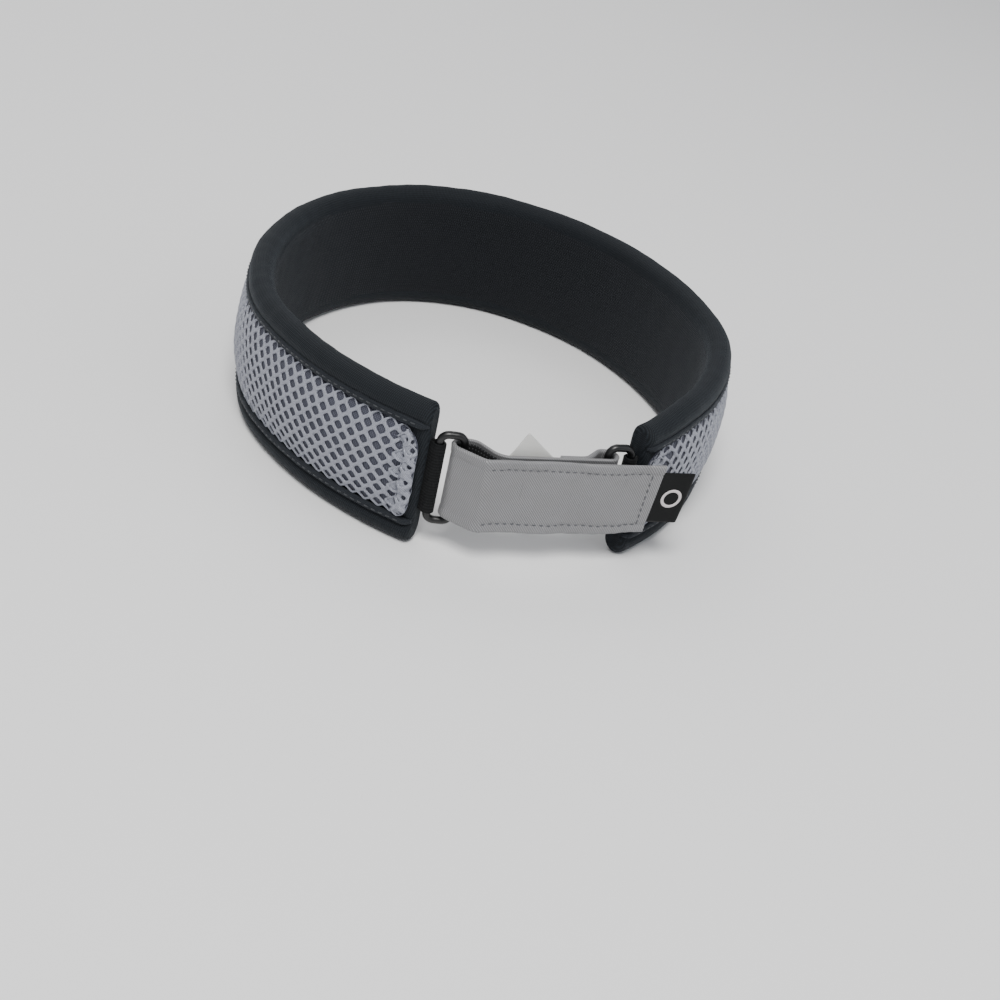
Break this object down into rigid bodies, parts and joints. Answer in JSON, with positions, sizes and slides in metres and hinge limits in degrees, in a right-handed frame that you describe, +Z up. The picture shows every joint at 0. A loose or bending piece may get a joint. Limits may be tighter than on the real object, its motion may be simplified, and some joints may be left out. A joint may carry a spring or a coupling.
{
  "type": "reflex ball headband",
  "caption": "Padded oval headband with an air-mesh panel, a rear hook-and-loop strap between two rings, and a cord eyelet at the forehead.",
  "frame": {"origin": "under the middle of the headband, in the plane of the pad's lower edge", "axes": "+Z up, -Y towards the wearer's front (the cord anchor), +Y towards the rear strap, +X the wearer's left"},
  "size_m": [0.189, 0.2176, 0.054],
  "materials": {
    "cover_knit": "ribbed black knit, matte",
    "liner_fabric": "brushed black lining, matte",
    "core_foam": "open-cell foam, matte",
    "mesh_silver": "silver-grey air mesh, soft sheen",
    "mesh_ground": "blue-grey knit behind the mesh, matte",
    "piping_black": "black piping cord, matte",
    "thread_black": "black polyester thread",
    "webbing_black": "black webbing, matte",
    "ring_plastic": "black moulded plastic, satin",
    "strap_silver": "silver-grey twill, satin sheen",
    "hook_loop_black": "black hook and loop, matte",
    "thread_grey": "grey polyester thread",
    "tab_black": "black coated tape, matte",
    "mark_grey": "pale grey print, matte",
    "label_white": "white satin, soft sheen",
    "anchor_rubber": "moulded black rubber, satin",
    "eyelet_metal": "dark anodised metal, satin"
  },
  "bodies": {
    "band": {"outer_shell": "cover_knit", "inner_liner": "liner_fabric", "foam_core": "core_foam", "mesh_foam": "core_foam", "mesh_backing": "mesh_ground", "mesh_cover": "mesh_silver", "top_piping": "piping_black", "bottom_piping": "piping_black", "top_seam_thread": "thread_black", "bottom_seam_thread": "thread_black", "left_ring_tab": "webbing_black", "left_tab_bartack": "thread_black", "right_ring_tab": "webbing_black", "right_tab_bartack": "thread_black", "strap_run": "strap_silver", "strap_fold": "strap_silver", "strap_anchor": "strap_silver", "anchor_box_stitch": "thread_grey", "loop_patch": "hook_loop_black", "care_label_hem": "label_white", "label_stitch": "thread_grey", "cord_anchor_plate": "anchor_rubber", "cord_eyelet": "eyelet_metal", "eyelet_washer": "eyelet_metal"},
    "left_ring": {"left_ring": "ring_plastic"},
    "right_ring": {"right_ring": "ring_plastic"},
    "flap": {"flap_root": "strap_silver", "flap_lining": "hook_loop_black", "flap_root_stitching": "thread_grey"},
    "flap_tail": {"flap_tip": "strap_silver", "hook_patch": "hook_loop_black", "flap_tip_stitching": "thread_grey"},
    "pull_tab": {"pull_tab": "tab_black", "pull_tab_mark": "mark_grey"},
    "care_label": {"care_label": "label_white"}
  },
  "joints": [
    {"name": "left_ring_swivel", "type": "hinge", "parent": "band", "child": "left_ring", "pos_m": [0.03302, 0.098, 0.027], "axis": [0, 0, 1], "range_deg": [-5, 5]},
    {"name": "right_ring_swivel", "type": "hinge", "parent": "band", "child": "right_ring", "pos_m": [-0.03302, 0.098, 0.027], "axis": [0, 0, 1], "range_deg": [-5, 5]},
    {"name": "flap_peel", "type": "hinge", "parent": "band", "child": "flap", "pos_m": [0.02742, 0.10178, 0.027], "axis": [0, 0, -1], "range_deg": [0, 120]},
    {"name": "flap_tail_curl", "type": "hinge", "parent": "flap", "child": "flap_tail", "pos_m": [-0.008, 0.10695, 0.027], "axis": [0, 0, -1], "range_deg": [0, 60]},
    {"name": "pull_tab_flex", "type": "hinge", "parent": "flap_tail", "child": "pull_tab", "pos_m": [-0.04308, 0.10396, 0.027], "axis": [0, 0, -1], "range_deg": [0, 60]},
    {"name": "label_flex", "type": "hinge", "parent": "band", "child": "care_label", "pos_m": [0.0032, 0.10251, 0.038], "axis": [0.997, 0.0779, 0], "range_deg": [0, 60], "stiffness_Nm_per_rad": 0.0005}
  ]
}
